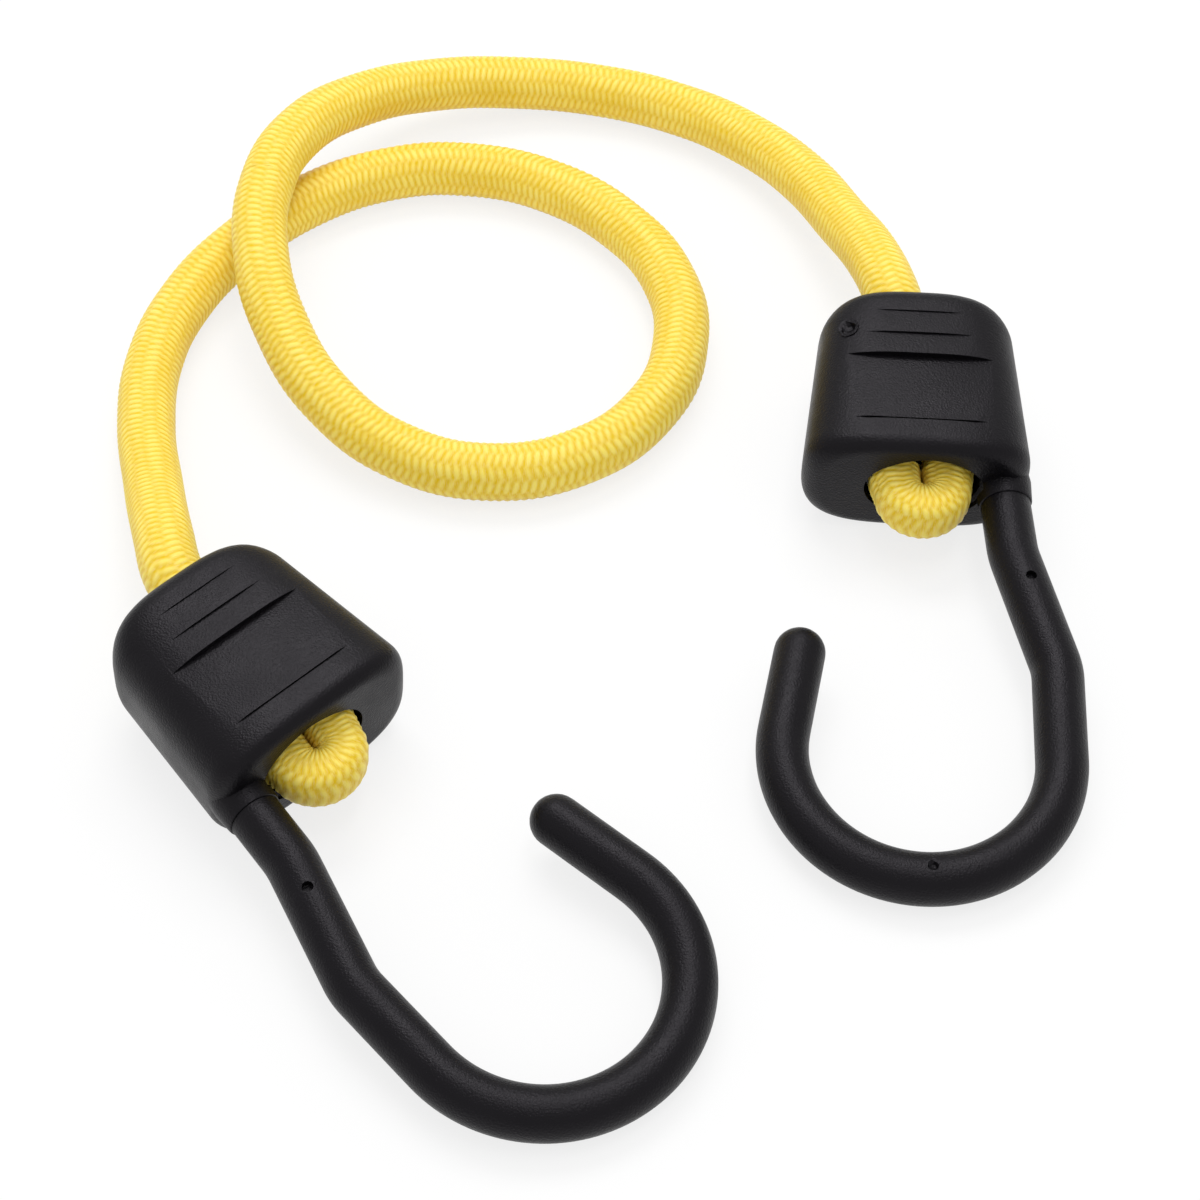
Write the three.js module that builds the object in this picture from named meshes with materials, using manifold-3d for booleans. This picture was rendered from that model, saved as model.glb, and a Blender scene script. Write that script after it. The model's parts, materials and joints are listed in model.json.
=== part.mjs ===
// An elastic luggage cord with a moulded hook on each end, lying in one loop on a flat surface.
// Millimetres, +Z up. The origin lies on that surface, under the middle of the two hooks.
//
// Each end is built the same way. The cord enters a plastic block through a neck, runs into a round socket,
// doubles back on itself and is clamped there, so that it can't slip back through the neck. A bent steel rod
// is anchored in the block beside the socket, and a plastic sleeve covers the rod outside the block.
import * as THREE from "three";
import { mergeVertices } from "three/addons/utils/BufferGeometryUtils.js";
import Module from "manifold-3d";

const wasm = await Module();
wasm.setup();

// Fits
const CLEARANCE = 0.3; // between pieces that touch
const CUT_OVERRUN = 1; // how far a cutting solid runs past the face that it opens

// Cord: rubber strands in a braided cover
const CORD_DIAMETER = 8.5;
const COVER_WALL = 0.8;
const EXIT_STRAIGHT = 1.5; // the cord leaves each block straight for this far

// Fold: the cord doubled back on itself in the socket
const FOLD_DIAMETER = 6.8; // one leg, where the turn bulges out of the socket
const FOLD_OUT = 0.8; // the legs run on past the socket's mouth before they turn
const CLAMPED_DIAMETER = 6.2; // one leg, squeezed under the clamp
const LEG_GAP = 0.5; // between the two legs
const LEG_SHIFT = 11.5; // length over which the cord moves from the neck's axis to its leg
const TAIL_STUB = 1.5; // cut end past the clamp

// Clamp: a steel band round both legs
const CLAMP_DEPTH = 3; // from the socket's mouth in to the clamp
const CLAMP_WIDTH = 4;
const CLAMP_THICKNESS = 0.8;
const CLAMP_SEAM = 0.8; // the slit where the band's ends meet
const SOCKET_PLAY = 0.25; // between the clamp and the socket

// Block: a rounded slab, wider at the socket's mouth than at the neck's end, and turned a little from the cord's
// axis, so that its edge beside the arm runs along the arm
const LEAN_ANGLE = 5.8; // from the cord's axis to the slab's, in degrees
const NECK_SHIFT = 2; // from the cord's axis to the slab's middle at the neck's end, towards the arm
const NECK_LENGTH = 9.5;
const NECK_CHAMFER = 0.8;
const FACE_WALL = 1.9; // between the socket and the block's broad faces
const SIDE_WALL = 1.6; // between the rod and the block's edge
const WIDTH_TAPER = 5.6; // less width at the neck's end
const THICKNESS_TAPER = 1.2; // less thickness at the neck's end
const SECTION_POWER = 3.3; // of the rounded section: 2 is an ellipse, and more is squarer
const NECK_END_CORNER = 6; // rounding of the neck's end, seen from above
const NECK_END_EDGE = 3; // rounding of the neck's end, seen from the side
const MOUTH_CORNER = 3.5;
const MOUTH_EDGE = 2.5;
const PANEL_START = 5.2; // from the mouth to the sunken panel
const PANEL_LENGTH = 11.5; // from the panel's start to its ledge
const PANEL_START_DEPTH = 0.5;
const PANEL_WALL = 0.7; // between the panel's ledge and the socket

// Hook: a steel rod, bent in order from its foot in the block to its tip, in a plastic sleeve
const ROD_DIAMETER = 4;
const SLEEVE_WALL = 1.2;
const ROD_WALL = 0.9; // between the rod and the socket beside it
const SHOULDER_WALL = 1.7; // between the rod's foot and the socket's end
const FOOT_RADIUS = 4;
const BOSS_WALL = 1.5; // round the rod where it leaves the block
const BOSS_OUT = 3.2; // from the mouth out to the end of the boss
const EXIT_LENGTH = 10.1; // from the mouth to the start of the splay
const SPLAY_RADIUS = 14.7;
const SPLAY_ANGLE = 10.5; // outwards, in degrees
const SPLAY_LENGTH = 16.4;
const KINK_RADIUS = 10.7;
const KINK_ANGLE = 16.1; // back inwards
const LEG_LENGTH = 12.6;
const BIGHT_RADIUS = 18.3; // of the round bend that hooks on, to the rod's middle
const BIGHT_ANGLE = 188.8;
const TIP_LENGTH = 12.3;

// Facets
const ARM_STEPS = 46;
const ARM_SIDES = 12;
const ROD_SIDES = 8;
const CORD_STEPS = 60;
const CORD_SIDES = 10;
const FOLD_STEPS = 32;
const SECTION_POINTS = 40;
const ROUND_SIDES = 32;

// Where the cord leaves each block, the way it points there, in degrees from +Y towards -X,
// and which way up the hook lies: the left one is turned over.
const ENDS = {
  left: { exit: [-55.2, 11.5], heading: 37.7, faceUp: -1 },
  right: { exit: [43.3, 63.1], heading: 2.6, faceUp: 1 },
};

// The free cord's middle line from the left block to the right one, as it lies
const CORD_ROUTE = [
  [-57.8, 15.6, 12.9],
  [-60.1, 23.4, 11.6],
  [-63.3, 36.2, 7.8],
  [-66.0, 49.6, 5.6],
  [-66.5, 63.4, 4.6],
  [-63.1, 76.8, 4.3],
  [-56.0, 88.8, 4.3],
  [-46.5, 98.7, 4.3],
  [-34.4, 105.1, 4.3],
  [-20.7, 106.3, 4.3],
  [-7.6, 102.0, 4.3],
  [3.1, 93.2, 4.3],
  [10.1, 81.3, 4.3],
  [11.6, 67.6, 4.3],
  [7.2, 54.6, 4.3],
  [-2.8, 45.2, 4.3],
  [-15.9, 42.0, 4.3],
  [-29.2, 45.4, 4.9],
  [-40.0, 53.8, 7.2],
  [-47.2, 65.2, 10.3],
  [-51.0, 78.2, 12.9],
  [-51.2, 92.0, 13.9],
  [-47.2, 105.1, 13.0],
  [-38.8, 115.7, 10.5],
  [-27.4, 122.9, 7.6],
  [-14.2, 126.1, 5.4],
  [-0.5, 125.2, 4.5],
  [12.5, 120.5, 4.5],
  [23.3, 112.5, 5.2],
  [31.6, 101.6, 6.6],
  [37.0, 89.0, 8.9],
  [40.2, 79.7, 11.3],
  [42.1, 71.2, 12.9],
];

// Colours and finishes
const BLACK_PLASTIC = new THREE.MeshStandardMaterial({ color: 0x2b2b2e, roughness: 0.55, metalness: 0 });
const YELLOW_BRAID = new THREE.MeshStandardMaterial({ color: 0xf0cc38, roughness: 0.8, metalness: 0 });
const RUBBER = new THREE.MeshStandardMaterial({ color: 0xd8c8a0, roughness: 0.7, metalness: 0 });
const STEEL = new THREE.MeshStandardMaterial({ color: 0xa9abad, roughness: 0.35, metalness: 1 });

// Sizes that follow from the ones above, in the hook's own frame: the cord leaves the block at the origin
// along +Y, the arm is on the +X side, and the block's broad faces look along +Z and -Z.
const LEG_X = (FOLD_DIAMETER + LEG_GAP) / 2;
const CLAMP_INNER = CLAMPED_DIAMETER / 2 + CLEARANCE;
const CLAMP_OUTER = CLAMP_INNER + CLAMP_THICKNESS;
const SOCKET_RADIUS = LEG_X + CLAMP_OUTER + SOCKET_PLAY;
const TAIL_LENGTH = CLAMP_DEPTH + CLAMP_WIDTH + TAIL_STUB;
const SOCKET_DEPTH = TAIL_LENGTH + LEG_SHIFT;
const NECK_RADIUS = CORD_DIAMETER / 2 + CLEARANCE;
const BLOCK_LENGTH = SOCKET_DEPTH + NECK_LENGTH;
const MOUTH = -BLOCK_LENGTH;
const SHOULDER = -NECK_LENGTH;
const ROD_RADIUS = ROD_DIAMETER / 2;
const ROD_HOLE = ROD_RADIUS + CLEARANCE;
const SLEEVE_RADIUS = ROD_HOLE + SLEEVE_WALL;
const ARM_X = SOCKET_RADIUS + ROD_WALL + ROD_HOLE;
const LEAN = THREE.MathUtils.degToRad(LEAN_ANGLE);
const MOUTH_SHIFT = BLOCK_LENGTH * Math.sin(LEAN) - NECK_SHIFT; // from the slab's middle to the cord's axis
const MOUTH_WIDTH = 2 * (ARM_X + ROD_HOLE + SIDE_WALL + MOUTH_SHIFT);
const MOUTH_THICKNESS = 2 * (SOCKET_RADIUS + FACE_WALL);
const FOOT_Y = SHOULDER + SHOULDER_WALL + ROD_HOLE;
const BOSS_END = MOUTH - BOSS_OUT;

// Joins and cuts
function solidOf(geometry) {
  const bare = geometry.clone();
  bare.deleteAttribute("normal");
  bare.deleteAttribute("uv");
  const merged = mergeVertices(bare, 1e-4);
  const vertProperties = new Float32Array(merged.attributes.position.array);
  const triVerts = new Uint32Array(merged.index.array);
  return new wasm.Manifold(new wasm.Mesh({ numProp: 3, vertProperties, triVerts }));
}

function geometryOf(solid) {
  const { numVert, numProp, vertProperties, triVerts } = solid.getMesh();
  const corners = new Float32Array(numVert * 3);
  for (let i = 0; i < numVert; i++) {
    corners.set(vertProperties.subarray(i * numProp, i * numProp + 3), i * 3);
  }
  const geometry = new THREE.BufferGeometry();
  geometry.setAttribute("position", new THREE.BufferAttribute(corners, 3));
  geometry.setIndex(new THREE.BufferAttribute(new Uint32Array(triVerts), 1));
  geometry.computeVertexNormals();
  return geometry;
}

// Round sections, tubes and skins
function ringPoints(radius, sides) {
  const points = [];
  for (let i = 0; i < sides; i++) {
    const turn = (2 * Math.PI * i) / sides;
    points.push(new THREE.Vector2(radius * Math.cos(turn), radius * Math.sin(turn)));
  }
  return points;
}

function tube(path, radius, sides, steps, boreRadius = 0) {
  const section = new THREE.Shape(ringPoints(radius, sides));
  if (boreRadius) section.holes.push(new THREE.Path(ringPoints(boreRadius, sides)));
  return new THREE.ExtrudeGeometry(section, { steps, extrudePath: path });
}

function middleOf(points) {
  return points.reduce((sum, p) => sum.add(p), new THREE.Vector3()).divideScalar(points.length);
}

// Skins rings of points, in order along the body, into one closed surface.
function skin(rings) {
  const count = rings[0].length;
  const corners = [...rings.flat(), middleOf(rings[0]), middleOf(rings.at(-1))];
  const faces = [];
  for (let i = 0; i + 1 < rings.length; i++) {
    for (let k = 0; k < count; k++) {
      const here = i * count + k;
      const beside = i * count + ((k + 1) % count);
      faces.push(here, beside, beside + count, here, beside + count, here + count);
    }
  }
  const lastRing = (rings.length - 1) * count;
  const firstMiddle = rings.length * count;
  for (let k = 0; k < count; k++) {
    const next = (k + 1) % count;
    faces.push(firstMiddle, next, k, firstMiddle + 1, lastRing + k, lastRing + next);
  }
  const geometry = new THREE.BufferGeometry().setFromPoints(corners);
  geometry.setIndex(faces);
  return geometry;
}

// Paths in the hook's middle plane, drawn by straight runs and bends one after the other
function flatPath(x, y, degrees) {
  const path = new THREE.CurvePath();
  const at = new THREE.Vector3(x, y, 0);
  let heading = THREE.MathUtils.degToRad(degrees);
  const run = (length) => {
    const from = at.clone();
    at.add(new THREE.Vector3(Math.cos(heading), Math.sin(heading), 0).multiplyScalar(length));
    path.add(new THREE.LineCurve3(from, at.clone()));
  };
  const bend = (radius, angle) => {
    const side = Math.sign(angle);
    const across = heading + (side * Math.PI) / 2;
    const centre = at.clone().add(new THREE.Vector3(Math.cos(across), Math.sin(across), 0).multiplyScalar(radius));
    const from = across + Math.PI;
    const turn = THREE.MathUtils.degToRad(angle);
    const arc = new THREE.Curve();
    arc.getPoint = (share, point = new THREE.Vector3()) => {
      const a = from + turn * share;
      return point.set(centre.x + radius * Math.cos(a), centre.y + radius * Math.sin(a), 0);
    };
    path.add(arc);
    at.copy(arc.getPoint(1));
    heading += turn;
  };
  return { path, run, bend };
}

// Block
function drawnIn(radius, fromEnd) {
  return fromEnd < radius ? radius - Math.sqrt(radius ** 2 - (radius - fromEnd) ** 2) : 0;
}

function halfWidth(fromMouth) {
  const full = MOUTH_WIDTH - (WIDTH_TAPER * fromMouth) / BLOCK_LENGTH;
  return full / 2 - drawnIn(MOUTH_CORNER, fromMouth) - drawnIn(NECK_END_CORNER, BLOCK_LENGTH - fromMouth);
}

function halfThickness(fromMouth) {
  const full = MOUTH_THICKNESS - (THICKNESS_TAPER * fromMouth) / BLOCK_LENGTH;
  return full / 2 - drawnIn(MOUTH_EDGE, fromMouth) - drawnIn(NECK_END_EDGE, BLOCK_LENGTH - fromMouth);
}

function blockRing(fromMouth) {
  const wide = halfWidth(fromMouth);
  const thick = halfThickness(fromMouth);
  return ringPoints(1, SECTION_POINTS).map(({ x, y }) => {
    const across = Math.sign(x) * Math.abs(x) ** (2 / SECTION_POWER);
    const up = Math.sign(y) * Math.abs(y) ** (2 / SECTION_POWER);
    return new THREE.Vector3(-across * wide, MOUTH + fromMouth, up * thick);
  });
}

function slab() {
  const steps = [0, 0.05, 0.2, 0.5, 1];
  const mouthEnd = steps.map((share) => share * MOUTH_CORNER);
  const neckEnd = steps.map((share) => BLOCK_LENGTH - share * NECK_END_CORNER).reverse();
  return skin([...mouthEnd, ...neckEnd].map(blockRing));
}

// Turns what is built square to the slab to its place on the cord's axis.
function leaned(geometry) {
  return geometry.rotateZ(-LEAN).translate(NECK_SHIFT, 0, 0);
}

function boss() {
  const radius = ROD_HOLE + BOSS_WALL;
  const length = SHOULDER - BOSS_END;
  const post = new THREE.CylinderGeometry(radius, radius, length, ROUND_SIDES);
  return post.translate(ARM_X, BOSS_END + length / 2, 0);
}

// Neck and socket, turned about the cord's axis
function cordPassage() {
  const open = BOSS_END - CUT_OVERRUN;
  const flare = NECK_RADIUS + NECK_CHAMFER + CUT_OVERRUN;
  const profile = [
    [0, open],
    [SOCKET_RADIUS, open],
    [SOCKET_RADIUS, SHOULDER],
    [NECK_RADIUS, SHOULDER],
    [NECK_RADIUS, -NECK_CHAMFER],
    [flare, CUT_OVERRUN],
    [0, CUT_OVERRUN],
  ];
  return new THREE.LatheGeometry(profile.map(([r, y]) => new THREE.Vector2(r, y)), ROUND_SIDES);
}

// The sunken panel on a broad face, deepest at its ledge
function panel(faceUp) {
  const ledge = PANEL_START + PANEL_LENGTH;
  const profile = new THREE.Shape([
    new THREE.Vector2(MOUTH + PANEL_START, halfThickness(PANEL_START) - PANEL_START_DEPTH),
    new THREE.Vector2(MOUTH + ledge, SOCKET_RADIUS + PANEL_WALL),
    new THREE.Vector2(MOUTH + ledge, MOUTH_THICKNESS),
    new THREE.Vector2(MOUTH + PANEL_START, MOUTH_THICKNESS),
  ]);
  const wedge = new THREE.ExtrudeGeometry(profile, { depth: MOUTH_WIDTH, bevelEnabled: false });
  wedge.translate(0, 0, -MOUTH_WIDTH / 2);
  const [along, up, across] = [new THREE.Vector3(0, 1, 0), new THREE.Vector3(0, 0, 1), new THREE.Vector3(1, 0, 0)];
  wedge.applyMatrix4(new THREE.Matrix4().makeBasis(along, up, across));
  return faceUp > 0 ? wedge : wedge.rotateY(Math.PI);
}

function blockGeometry() {
  const whole = solidOf(leaned(slab())).add(solidOf(boss()));
  const cutters = [cordPassage(), leaned(panel(1)), leaned(panel(-1))].map(solidOf);
  return geometryOf([...cutters, rodHole()].reduce((body, cutter) => body.subtract(cutter), whole));
}

// Hook
function bendArm(wire, straightLength) {
  wire.run(straightLength);
  wire.bend(SPLAY_RADIUS, SPLAY_ANGLE);
  wire.run(SPLAY_LENGTH);
  wire.bend(KINK_RADIUS, -KINK_ANGLE);
  wire.run(LEG_LENGTH);
  wire.bend(BIGHT_RADIUS, -BIGHT_ANGLE);
  wire.run(TIP_LENGTH);
  return wire.path;
}

function rodPath() {
  const wire = flatPath(ARM_X - FOOT_RADIUS, FOOT_Y, 0);
  wire.bend(FOOT_RADIUS, -90);
  return bendArm(wire, FOOT_Y - FOOT_RADIUS - MOUTH + EXIT_LENGTH);
}

// The sleeve starts where the boss ends.
function armPath() {
  return bendArm(flatPath(ARM_X, BOSS_END - CLEARANCE, -90), EXIT_LENGTH - BOSS_OUT - CLEARANCE);
}

function roundEnd(path, share, radius, sides) {
  const { x, y } = path.getPoint(share);
  return solidOf(new THREE.SphereGeometry(radius, sides, sides / 2).translate(x, y, 0));
}

function rodHole() {
  const path = rodPath();
  const bore = solidOf(tube(path, ROD_HOLE, ROD_SIDES, ARM_STEPS));
  return bore.add(roundEnd(path, 0, ROD_HOLE, ROD_SIDES)).add(roundEnd(path, 1, ROD_HOLE, ROD_SIDES));
}

function rodGeometry() {
  return tube(rodPath(), ROD_RADIUS, ROD_SIDES, ARM_STEPS);
}

function sleeveGeometry() {
  const path = armPath();
  const arm = solidOf(tube(path, SLEEVE_RADIUS, ARM_SIDES, ARM_STEPS));
  return geometryOf(arm.add(roundEnd(path, 1, SLEEVE_RADIUS, ARM_SIDES)).subtract(rodHole()));
}

// Fold
function foldPath() {
  const path = new THREE.CurvePath();
  const point = (x, y) => new THREE.Vector3(x, y, 0);
  const legTop = SHOULDER - LEG_SHIFT;
  path.add(new THREE.LineCurve3(point(0, -CLEARANCE), point(0, SHOULDER)));
  path.add(
    new THREE.CubicBezierCurve3(
      point(0, SHOULDER),
      point(0, SHOULDER - LEG_SHIFT / 2),
      point(LEG_X, legTop + LEG_SHIFT / 2),
      point(LEG_X, legTop),
    ),
  );
  path.add(new THREE.LineCurve3(point(LEG_X, legTop), point(LEG_X, MOUTH - FOLD_OUT)));
  const turn = flatPath(LEG_X, MOUTH - FOLD_OUT, -90);
  turn.bend(LEG_X, -180);
  turn.run(FOLD_OUT + TAIL_LENGTH);
  turn.path.curves.forEach((curve) => path.add(curve));
  return path;
}

// The cord's radius where it lies in the block: full in the neck, squeezed under the clamp, swollen in the turn
function foldRadius(fromMouth) {
  const clampMiddle = CLAMP_DEPTH + CLAMP_WIDTH / 2;
  const pinch = THREE.MathUtils.smoothstep(fromMouth, 0, CLAMP_DEPTH);
  const swollen = THREE.MathUtils.lerp(FOLD_DIAMETER, CLAMPED_DIAMETER, pinch) / 2;
  const ease = THREE.MathUtils.smoothstep(fromMouth, clampMiddle + CLAMP_WIDTH / 2, SOCKET_DEPTH);
  return THREE.MathUtils.lerp(swollen, CORD_DIAMETER / 2, ease);
}

function foldBody(inset) {
  const path = foldPath();
  const up = new THREE.Vector3(0, 0, 1);
  const rings = [];
  for (let i = 0; i <= FOLD_STEPS; i++) {
    const at = path.getPoint(i / FOLD_STEPS);
    const side = up.clone().cross(path.getTangent(i / FOLD_STEPS));
    const radius = foldRadius(at.y - MOUTH) - inset;
    rings.push(
      ringPoints(radius, CORD_SIDES).map(({ x, y }) => at.clone().addScaledVector(side, x).addScaledVector(up, y)),
    );
  }
  return skin(rings);
}

// The cover is open at both ends, so its bore runs a little past them.
function foldCoverGeometry() {
  const path = foldPath();
  const bore = solidOf(foldBody(COVER_WALL));
  const ends = [0, 1].map((share) => {
    const at = path.getPoint(share);
    const radius = foldRadius(at.y - MOUTH) - COVER_WALL;
    const plug = new THREE.CylinderGeometry(radius, radius, 2 * CLEARANCE, CORD_SIDES);
    return solidOf(plug.rotateY(Math.PI / 2).translate(at.x, at.y, 0));
  });
  return geometryOf([bore, ...ends].reduce((body, cutter) => body.subtract(cutter), solidOf(foldBody(0))));
}

function foldCoreGeometry() {
  return foldBody(COVER_WALL + CLEARANCE);
}

// Clamp
function stadium(radius) {
  const shape = new THREE.Shape();
  shape.absarc(LEG_X, 0, radius, -Math.PI / 2, Math.PI / 2);
  shape.absarc(-LEG_X, 0, radius, Math.PI / 2, (3 * Math.PI) / 2);
  shape.closePath();
  return shape;
}

function clampGeometry() {
  const band = stadium(CLAMP_OUTER);
  band.holes.push(stadium(CLAMP_INNER));
  const options = { depth: CLAMP_WIDTH, bevelEnabled: false, curveSegments: ROUND_SIDES / 4 };
  const ring = new THREE.ExtrudeGeometry(band, options);
  ring.rotateX(-Math.PI / 2).translate(0, MOUTH + CLAMP_DEPTH, 0);
  const slitHeight = 2 * CLAMP_THICKNESS;
  const slit = new THREE.BoxGeometry(CLAMP_SEAM, CLAMP_WIDTH + 2 * CUT_OVERRUN, slitHeight);
  slit.translate(0, MOUTH + CLAMP_DEPTH + CLAMP_WIDTH / 2, CLAMP_INNER + CLAMP_THICKNESS / 2);
  return geometryOf(solidOf(ring).subtract(solidOf(slit)));
}

// The hook lies on the block's edge at the mouth and on the bottom of its bight, which sets its tilt and height.
function restingPlace() {
  const lowest = Math.min(...armPath().getSpacedPoints(4 * ARM_STEPS).map((p) => p.y));
  const touch = MOUTH + MOUTH_EDGE;
  const half = halfThickness(MOUTH_EDGE);
  const reach = Math.hypot(touch - lowest, half);
  const tilt = Math.atan2(half, touch - lowest) - Math.asin(SLEEVE_RADIUS / reach);
  return { tilt, exitHeight: SLEEVE_RADIUS - lowest * Math.sin(tilt) };
}

const { tilt, exitHeight } = restingPlace();

function exitPoint({ exit }) {
  return new THREE.Vector3(exit[0], exit[1], exitHeight);
}

function exitWay({ heading }) {
  const turn = THREE.MathUtils.degToRad(heading);
  const level = Math.cos(tilt);
  return new THREE.Vector3(-Math.sin(turn) * level, Math.cos(turn) * level, Math.sin(tilt));
}

function hookFrame(end) {
  const turn = THREE.MathUtils.degToRad(end.heading);
  const across = new THREE.Vector3(Math.cos(turn), Math.sin(turn), 0).multiplyScalar(end.faceUp);
  const along = exitWay(end);
  const frame = new THREE.Matrix4().makeBasis(across, along, across.clone().cross(along));
  return frame.setPosition(exitPoint(end));
}

// Free cord
function cordPath() {
  const { left, right } = ENDS;
  const points = [
    exitPoint(left),
    exitPoint(left).addScaledVector(exitWay(left), EXIT_STRAIGHT),
    ...CORD_ROUTE.map((p) => new THREE.Vector3(...p)),
    exitPoint(right).addScaledVector(exitWay(right), EXIT_STRAIGHT),
    exitPoint(right),
  ];
  return new THREE.CatmullRomCurve3(points, false, "centripetal");
}

// The least gap between two stretches of the cord that lie more than a few diameters apart along it
function leastGap(path) {
  const count = 10 * CORD_STEPS;
  const apart = Math.ceil((4 * CORD_DIAMETER * count) / path.getLength());
  const points = path.getSpacedPoints(count);
  let least = Infinity;
  for (let i = 0; i <= count; i++) {
    for (let k = i + apart; k <= count; k++) least = Math.min(least, points[i].distanceTo(points[k]));
  }
  return least - CORD_DIAMETER;
}

// Assembly
const bungee = new THREE.Group();

function addPiece(parent, name, geometry, material) {
  const piece = new THREE.Mesh(geometry, material);
  piece.name = name;
  parent.add(piece);
}

const freeCord = cordPath();
const strandRadius = CORD_DIAMETER / 2 - COVER_WALL - CLEARANCE;
const coverBore = CORD_DIAMETER / 2 - COVER_WALL;
addPiece(bungee, "cord_cover", tube(freeCord, CORD_DIAMETER / 2, CORD_SIDES, CORD_STEPS, coverBore), YELLOW_BRAID);
addPiece(bungee, "cord_core", tube(freeCord, strandRadius, CORD_SIDES, CORD_STEPS), RUBBER);

for (const [side, end] of Object.entries(ENDS)) {
  const hook = new THREE.Group();
  hook.applyMatrix4(hookFrame(end));
  addPiece(hook, `${side}_block`, blockGeometry(), BLACK_PLASTIC);
  addPiece(hook, `${side}_hook_sleeve`, sleeveGeometry(), BLACK_PLASTIC);
  addPiece(hook, `${side}_hook_rod`, rodGeometry(), STEEL);
  addPiece(hook, `${side}_fold_cover`, foldCoverGeometry(), YELLOW_BRAID);
  addPiece(hook, `${side}_fold_core`, foldCoreGeometry(), RUBBER);
  addPiece(hook, `${side}_clamp`, clampGeometry(), STEEL);
  bungee.add(hook);
}

const degrees = THREE.MathUtils.radToDeg(tilt).toFixed(2);
console.log(`cord ${freeCord.getLength().toFixed(1)} mm, least gap to itself ${leastGap(freeCord).toFixed(2)} mm`);
console.log(`hooks tilted ${degrees} degrees, cord leaves at ${exitHeight.toFixed(2)} mm`);

export default bungee;
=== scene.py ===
# %% [markdown]
# ## A bungee cord, dressed for its picture
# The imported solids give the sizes, the places and the moving bodies of an elastic cord with a hook on each
# end. Here each visible piece gets its finished surface: the braid of the cord, the moulded blocks and the
# coated hooks. Everything is in metres, in the frame of the solids, so nothing has to be fitted afterwards.

# %% Load the solids
import json
import math

import bpy
import numpy as np
from mathutils import Matrix, Vector


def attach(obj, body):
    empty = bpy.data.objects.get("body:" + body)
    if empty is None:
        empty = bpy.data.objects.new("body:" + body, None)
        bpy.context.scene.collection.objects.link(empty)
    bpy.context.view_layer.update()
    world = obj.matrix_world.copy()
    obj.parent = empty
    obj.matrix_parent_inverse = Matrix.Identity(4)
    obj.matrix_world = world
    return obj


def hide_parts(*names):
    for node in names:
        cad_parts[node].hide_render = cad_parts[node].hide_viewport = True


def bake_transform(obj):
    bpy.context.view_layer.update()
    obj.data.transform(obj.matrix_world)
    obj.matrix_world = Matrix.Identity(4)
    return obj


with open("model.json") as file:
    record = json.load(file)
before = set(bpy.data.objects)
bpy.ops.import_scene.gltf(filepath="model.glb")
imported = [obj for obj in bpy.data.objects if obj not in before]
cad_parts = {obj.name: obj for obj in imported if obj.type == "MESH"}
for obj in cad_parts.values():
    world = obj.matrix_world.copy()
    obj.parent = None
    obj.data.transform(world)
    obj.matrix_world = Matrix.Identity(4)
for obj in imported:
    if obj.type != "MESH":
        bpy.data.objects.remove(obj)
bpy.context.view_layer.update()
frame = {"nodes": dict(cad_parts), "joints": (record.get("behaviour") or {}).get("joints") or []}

MM = 0.001

# %% [markdown]
# ## Camera
# The cord lies on a table and is seen from above, a little in front of it. A long lens keeps the near hook
# only slightly larger than the far loop. The camera is placed by numbers that were worked out from the
# picture: its height, its tilt and its lens. An operator acts on all that is selected, so everything is
# deselected first, here and before every later piece.

# %% Camera
CAMERA_PLACE = Vector((-0.4, -217.2, 292)) * MM
CAMERA_ELEVATION = 50.7  # degrees above the table
LENS = 81
SENSOR_WIDTH = 36


def deselect_all():
    bpy.ops.object.select_all(action="DESELECT")


deselect_all()
bpy.ops.object.camera_add(location=CAMERA_PLACE, rotation=(math.radians(90 - CAMERA_ELEVATION), 0, 0))
camera = bpy.context.object
camera.data.sensor_width = SENSOR_WIDTH
camera.data.lens = LENS
bpy.context.scene.camera = camera
bpy.context.scene.view_settings.view_transform = "Standard"
print("camera looks from", [round(x, 3) for x in camera.location])

# %% [markdown]
# ## Where the cord leaves each block
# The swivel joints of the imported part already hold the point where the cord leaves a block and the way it
# points there. Reading them keeps the scene and the solids together. From them comes each hook's own frame:
# the cord leaves along +Y, the hook's arm is on the +X side, and the block's broad faces look along +Z and
# -Z. The left hook lies the other way up, so its X axis is turned round.

# %% Frames of the two hooks
swivels = {joint["name"]: joint for joint in frame["joints"] if joint["type"] == "hinge"}


def hook_frame(side, face_up):
    swivel = swivels[side + "_swivel"]
    along = Vector(swivel["axis"]).normalized()
    across = Vector((along.y, -along.x, 0)).normalized() * face_up
    turn = Matrix((across, along, across.cross(along))).transposed()
    return Matrix.Translation(Vector(swivel["pos_m"])) @ turn.to_4x4()


HOOK_FRAMES = {"left": hook_frame("left", -1), "right": hook_frame("right", 1)}
HOOK_BODIES = {"left": "left_hook", "right": "right_hook"}
FOLD_BODIES = {"left": "cord", "right": "right_cord_end"}
for side, place in HOOK_FRAMES.items():
    print(side, "cord exit in mm:", [round(x / MM, 1) for x in place.translation])

# %% [markdown]
# ## The cord's route
# The cord lies in one loop and crosses over itself once. Its middle line is a list of points along the way,
# in millimetres, joined by a smooth curve with automatic handles, as if drawn by hand. The points lift gently
# where the upper stretch passes over the lower one. The curve is turned into a row of closely spaced points,
# which the braid will follow.

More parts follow.
